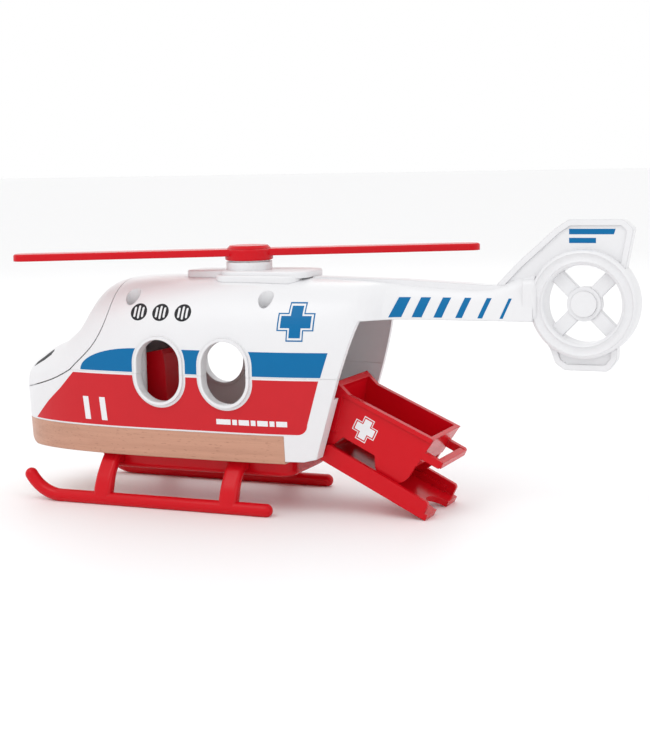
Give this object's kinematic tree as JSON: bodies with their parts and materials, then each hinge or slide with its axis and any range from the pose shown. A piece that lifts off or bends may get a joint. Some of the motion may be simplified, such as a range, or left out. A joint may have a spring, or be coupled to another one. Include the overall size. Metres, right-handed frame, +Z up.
{
  "type": "toy helicopter",
  "caption": "Toy rescue helicopter with a wooden hull, skids, spinning rotor, tilting nose canopy, rear loading ramp and a stretcher that rides on the ramp.",
  "frame": {"origin": "on the floor under the middle of the overall length, in the plane of symmetry", "axes": "+Z up, -X towards the nose, -Y to the left side of the aircraft"},
  "size_m": [0.2606, 0.0928, 0.1133],
  "materials": {
    "white_plastic": "satin moulded plastic",
    "red_plastic": "glossy moulded plastic",
    "beech": "clear varnished beech",
    "steel": "zinc-plated"
  },
  "bodies": {
    "fuselage": {"upper_shell": "white_plastic", "lower_shell": "white_plastic", "wooden_hull": "beech", "belly_plate": "red_plastic", "left_skid": "red_plastic", "right_skid": "red_plastic", "cockpit_seat": "red_plastic", "rotor_mount": "white_plastic", "roof_screws": "steel", "belly_screws": "steel", "rotor_axle": "steel", "axle_clip": "steel", "rotor_washer": "steel", "ramp_pin": "steel", "canopy_pin": "steel"},
    "canopy": {"canopy": "white_plastic"},
    "rotor": {"rotor": "red_plastic", "rotor_cap": "red_plastic"},
    "ramp": {"ramp": "red_plastic"},
    "stretcher": {"stretcher": "red_plastic"}
  },
  "joints": [
    {"name": "rotor_spin", "type": "hinge", "parent": "fuselage", "child": "rotor", "pos_m": [-0.02725, 0, 0.0976], "axis": [0, 0, 1], "continuous": true},
    {"name": "canopy_tilt", "type": "hinge", "parent": "fuselage", "child": "canopy", "pos_m": [-0.1283, 0, 0.0438], "axis": [0, -1, 0], "range_deg": [0, 70]},
    {"name": "ramp_fold", "type": "hinge", "parent": "fuselage", "child": "ramp", "pos_m": [0.0081, 0, 0.025], "axis": [0, -1, 0], "range_deg": [0, 99]},
    {"name": "stretcher_slide", "type": "slide", "parent": "ramp", "child": "stretcher", "axis": [0.8941, 0, -0.4478], "range_m": [0, 0.005]}
  ]
}
